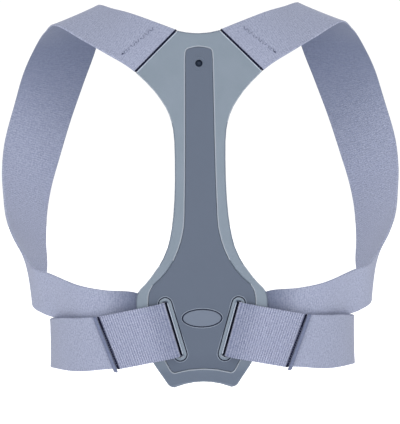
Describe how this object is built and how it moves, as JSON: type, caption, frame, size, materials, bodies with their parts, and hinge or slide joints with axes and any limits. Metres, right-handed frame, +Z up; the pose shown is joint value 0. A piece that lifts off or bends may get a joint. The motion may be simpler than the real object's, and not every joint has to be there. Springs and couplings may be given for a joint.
{
  "type": "posture corrector",
  "caption": "Moulded back plate with elastic shoulder straps and a waist belt, worn to hold the back upright.",
  "frame": {"origin": "the middle of the plate's inner face, which lies against the wearer's back", "axes": "+X to the wearer's right, +Y forwards through the wearer, +Z up"},
  "size_m": [0.3654, 0.2039, 0.3449],
  "materials": {
    "frame_plastic": "satin, moulded",
    "panel_plastic": "matt, soft touch",
    "badge_plastic": "satin, bare",
    "smooth_elastic": "fine woven elastic",
    "ribbed_elastic": "ribbed woven elastic",
    "binding_tape": "plain woven tape",
    "hook_tape": "hook tape"
  },
  "bodies": {
    "root": {"back_plate": "frame_plastic", "centre_panel": "panel_plastic", "oval_badge": "badge_plastic", "shoulder_strap_left": "smooth_elastic", "shoulder_strap_right": "smooth_elastic", "ribbed_webbing_left": "ribbed_elastic", "ribbed_webbing_right": "ribbed_elastic", "seam_binding_left": "binding_tape", "seam_binding_right": "binding_tape", "waist_belt_left": "smooth_elastic", "waist_belt_right": "smooth_elastic", "hook_patch": "hook_tape"}
  },
  "joints": []
}
